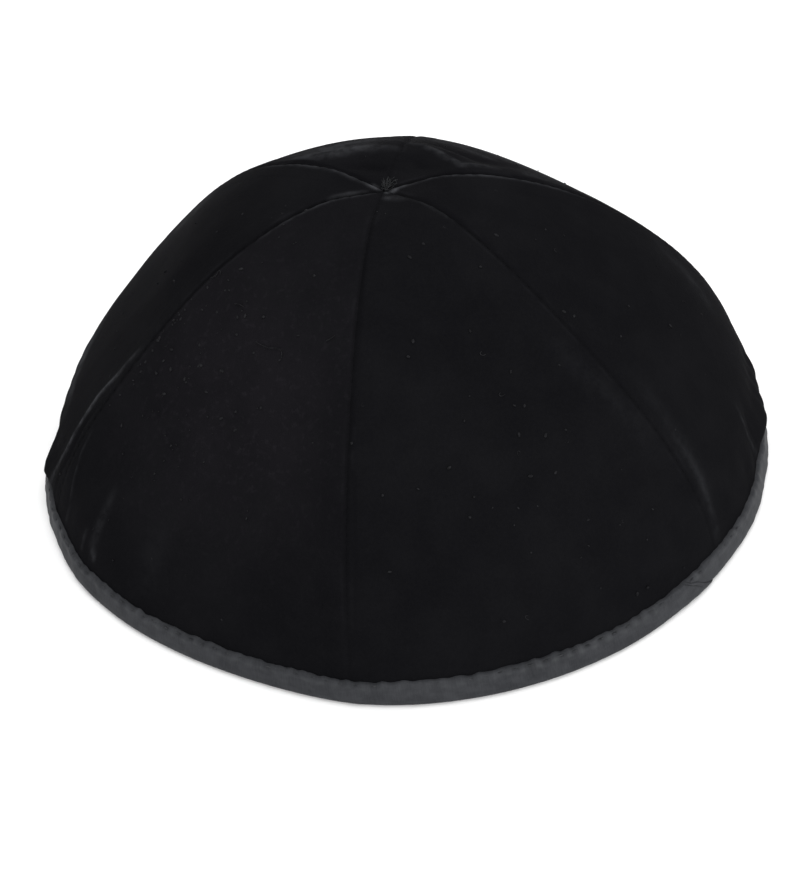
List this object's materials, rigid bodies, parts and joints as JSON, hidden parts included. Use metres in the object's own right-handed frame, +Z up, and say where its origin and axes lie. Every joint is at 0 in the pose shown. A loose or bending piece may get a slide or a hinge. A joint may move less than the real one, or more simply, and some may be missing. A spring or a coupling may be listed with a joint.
{
  "type": "kippah skullcap",
  "caption": "Deep domed velvet skullcap sewn from tapered gores, with a dimpled crown, soft seam ridges and a folded satin binding round the open rim.",
  "frame": {"origin": "middle of the rim's outer box, on the plane that the rim rests on", "axes": "+Z up through the crown, -Y towards the front of the cap, +X to the right side as seen from the front"},
  "size_m": [0.1854, 0.1794, 0.0807],
  "materials": {
    "velvet": "black short-pile velvet with a soft sheen at grazing angles",
    "satin_binding": "charcoal satin bias tape, folded, with a low lustre along its ribs"
  },
  "bodies": {
    "root": {"panel_front_right": "velvet", "panel_right": "velvet", "panel_back_right": "velvet", "panel_back_left": "velvet", "panel_left": "velvet", "panel_front_left": "velvet", "rim_binding": "satin_binding"}
  },
  "joints": []
}
